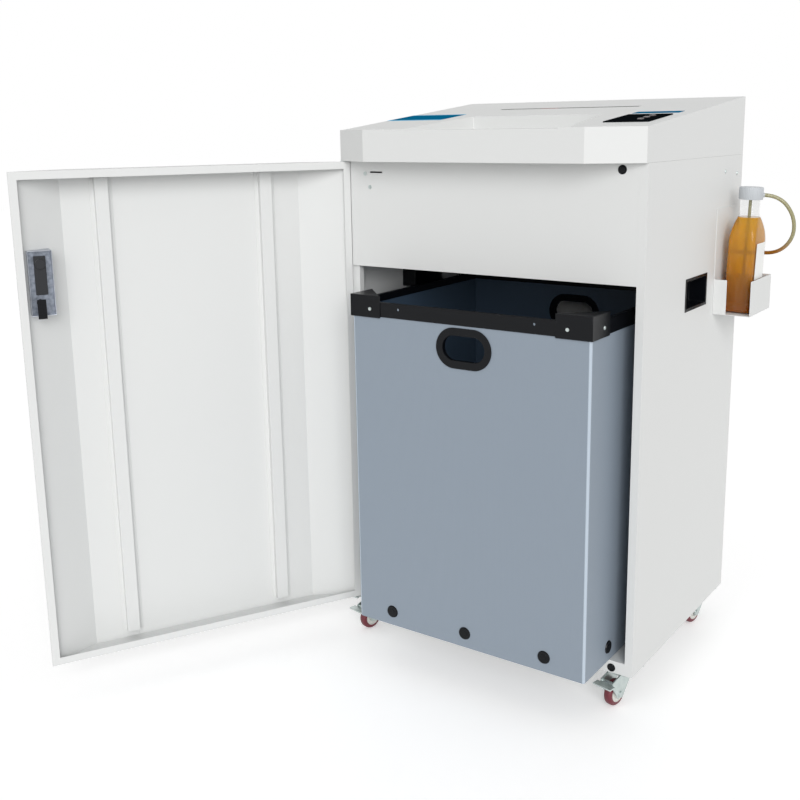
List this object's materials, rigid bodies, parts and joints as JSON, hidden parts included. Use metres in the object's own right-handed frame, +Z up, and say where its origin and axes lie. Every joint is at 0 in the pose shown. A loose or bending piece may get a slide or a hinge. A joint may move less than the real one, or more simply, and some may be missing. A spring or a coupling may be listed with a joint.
{
  "type": "cross-cut paper shredder on casters",
  "caption": "Console cross-cut paper shredder on casters with a hinged front door, pull-out waste bin, sloped top with feed slot and an oil bottle on its side.",
  "frame": {"origin": "on the floor, under the middle of the cabinet's front edge plane", "axes": "+X to the user's right, +Y to the back, +Z up"},
  "size_m": [1.0792, 1.056, 1.114],
  "materials": {
    "painted_steel": "satin",
    "bin_board": "matt",
    "black_plastic": "matt",
    "zinc_steel": "satin",
    "tool_steel": "satin",
    "galvanised_sheet": "satin",
    "clear_plastic": "gloss",
    "shredder_oil": "gloss",
    "grey_cap": "gloss",
    "hose_vinyl": "gloss",
    "blue_inlay": "gloss",
    "button_plastic": "gloss",
    "tyre_maroon": "satin",
    "motor_paint": "satin",
    "board_green": "satin",
    "white_nylon": "satin"
  },
  "bodies": {
    "cabinet": {"floor_pan": "painted_steel", "left_side_panel": "painted_steel", "right_side_panel": "painted_steel", "rear_panel": "painted_steel", "upper_front_panel": "painted_steel", "machine_shelf": "galvanised_sheet", "top_deck": "painted_steel", "feed_throat": "galvanised_sheet", "control_panel": "black_plastic", "control_board": "board_green", "deck_inlays": "blue_inlay", "side_handle_cups": "black_plastic", "door_hinge_lugs": "zinc_steel", "power_inlet": "black_plastic", "panel_screws": "zinc_steel", "sill_plug": "black_plastic", "interlock_switch": "black_plastic", "bottle_tray": "painted_steel", "oil_bottle": "clear_plastic", "bottle_oil": "shredder_oil", "bottle_cap": "grey_cap", "oil_hose": "hose_vinyl", "hose_grommet": "black_plastic", "cutter_side_plates": "tool_steel", "cutter_tie_rods": "zinc_steel", "stripper_combs": "tool_steel", "drive_motor": "motor_paint", "oil_spray_bar": "zinc_steel", "oil_pump": "black_plastic", "caster_top_plates": "zinc_steel"},
    "door": {"door_pan": "painted_steel", "door_ribs": "painted_steel", "door_lock_case": "galvanised_sheet", "door_escutcheon": "black_plastic"},
    "latch": {"door_latch": "black_plastic"},
    "bin": {"bin_board": "bin_board", "bin_rim_rails": "black_plastic", "bin_corner_brackets": "black_plastic", "bin_rivets": "zinc_steel", "bin_push_rivets": "black_plastic", "bin_grommets": "black_plastic"},
    "front_cutter": {"front_cutter_cylinder": "tool_steel", "front_shaft_gears": "tool_steel"},
    "rear_cutter": {"rear_cutter_cylinder": "tool_steel", "rear_timing_gear": "tool_steel"},
    "pinion": {"motor_pinion": "tool_steel"},
    "plunger": {"interlock_plunger": "black_plastic"},
    "start": {"start_button": "button_plastic"},
    "stop": {"stop_button": "button_plastic"},
    "reverse": {"reverse_button": "button_plastic"},
    "fork_front_right": {"caster_fork_front_right": "zinc_steel"},
    "wheel_front_right": {"caster_wheel_front_right": "tyre_maroon"},
    "pedal_front_right": {"brake_pedal_front_right": "zinc_steel"},
    "fork_front_left": {"caster_fork_front_left": "zinc_steel"},
    "wheel_front_left": {"caster_wheel_front_left": "tyre_maroon"},
    "pedal_front_left": {"brake_pedal_front_left": "zinc_steel"},
    "fork_rear_right": {"caster_fork_rear_right": "zinc_steel"},
    "wheel_rear_right": {"caster_wheel_rear_right": "tyre_maroon"},
    "fork_rear_left": {"caster_fork_rear_left": "zinc_steel"},
    "wheel_rear_left": {"caster_wheel_rear_left": "tyre_maroon"}
  },
  "joints": [
    {"name": "door_hinge", "type": "hinge", "parent": "cabinet", "child": "door", "pos_m": [-0.311, -0.007, 0.54], "axis": [0, 0, 1], "range_deg": [-27, 118.1]},
    {"name": "bin_slide", "type": "slide", "parent": "cabinet", "child": "bin", "axis": [0, 1, 0], "range_m": [-0.0285, 0.1216]},
    {"name": "latch_turn", "type": "hinge", "parent": "door", "child": "latch", "pos_m": [-0.60225, -0.52486, 0.768], "axis": [-0.8821, 0.471, 0], "range_deg": [0, 90]},
    {"name": "swivel_front_right", "type": "hinge", "parent": "cabinet", "child": "fork_front_right", "pos_m": [0.285, 0.035, 0.062], "axis": [0, 0, 1], "continuous": true},
    {"name": "roll_front_right", "type": "hinge", "parent": "fork_front_right", "child": "wheel_front_right", "pos_m": [0.28061, 0.01344, 0.025], "axis": [0.9799, -0.1994, 0], "continuous": true},
    {"name": "brake_front_right", "type": "hinge", "parent": "fork_front_right", "child": "pedal_front_right", "pos_m": [0.27663, -0.00616, 0.051], "axis": [0.9799, -0.1994, 0], "range_deg": [0, 12]},
    {"name": "swivel_front_left", "type": "hinge", "parent": "cabinet", "child": "fork_front_left", "pos_m": [-0.285, 0.035, 0.062], "axis": [0, 0, 1], "continuous": true},
    {"name": "roll_front_left", "type": "hinge", "parent": "fork_front_left", "child": "wheel_front_left", "pos_m": [-0.28939, 0.01344, 0.025], "axis": [0.9799, -0.1994, 0], "continuous": true},
    {"name": "brake_front_left", "type": "hinge", "parent": "fork_front_left", "child": "pedal_front_left", "pos_m": [-0.29337, -0.00616, 0.051], "axis": [0.9799, -0.1994, 0], "range_deg": [0, 12]},
    {"name": "swivel_rear_right", "type": "hinge", "parent": "cabinet", "child": "fork_rear_right", "pos_m": [0.285, 0.438, 0.062], "axis": [0, 0, 1], "continuous": true},
    {"name": "roll_rear_right", "type": "hinge", "parent": "fork_rear_right", "child": "wheel_rear_right", "pos_m": [0.28061, 0.41644, 0.025], "axis": [0.9799, -0.1994, 0], "continuous": true},
    {"name": "swivel_rear_left", "type": "hinge", "parent": "cabinet", "child": "fork_rear_left", "pos_m": [-0.285, 0.438, 0.062], "axis": [0, 0, 1], "continuous": true},
    {"name": "roll_rear_left", "type": "hinge", "parent": "fork_rear_left", "child": "wheel_rear_left", "pos_m": [-0.2873, 0.41612, 0.025], "axis": [0.9945, -0.1045, 0], "continuous": true},
    {"name": "front_cutter_turn", "type": "hinge", "parent": "cabinet", "child": "front_cutter", "pos_m": [0, 0.314, 0.925], "axis": [1, 0, 0], "continuous": true},
    {"name": "rear_cutter_turn", "type": "hinge", "parent": "cabinet", "child": "rear_cutter", "pos_m": [0, 0.372, 0.925], "axis": [1, 0, 0], "continuous": true},
    {"name": "pinion_turn", "type": "hinge", "parent": "cabinet", "child": "pinion", "pos_m": [-0.193, 0.238, 0.9], "axis": [1, 0, 0], "continuous": true},
    {"name": "start_press", "type": "slide", "parent": "cabinet", "child": "start", "axis": [0, 0.1095, -0.994], "range_m": [0, 0.001], "stiffness_N_per_m": 500},
    {"name": "stop_press", "type": "slide", "parent": "cabinet", "child": "stop", "axis": [0, 0.1095, -0.994], "range_m": [0, 0.001], "stiffness_N_per_m": 500},
    {"name": "reverse_press", "type": "slide", "parent": "cabinet", "child": "reverse", "axis": [0, 0.1095, -0.994], "range_m": [0, 0.001], "stiffness_N_per_m": 500},
    {"name": "plunger_press", "type": "slide", "parent": "cabinet", "child": "plunger", "axis": [0, 1, 0], "range_m": [0, 0.0012], "stiffness_N_per_m": 500}
  ],
  "couplings": [
    {"joint": "bin_slide", "follows": "door_hinge", "m_per_rad": 0.0587},
    {"joint": "rear_cutter_turn", "follows": "front_cutter_turn", "ratio": -1},
    {"joint": "pinion_turn", "follows": "front_cutter_turn", "ratio": -3}
  ]
}
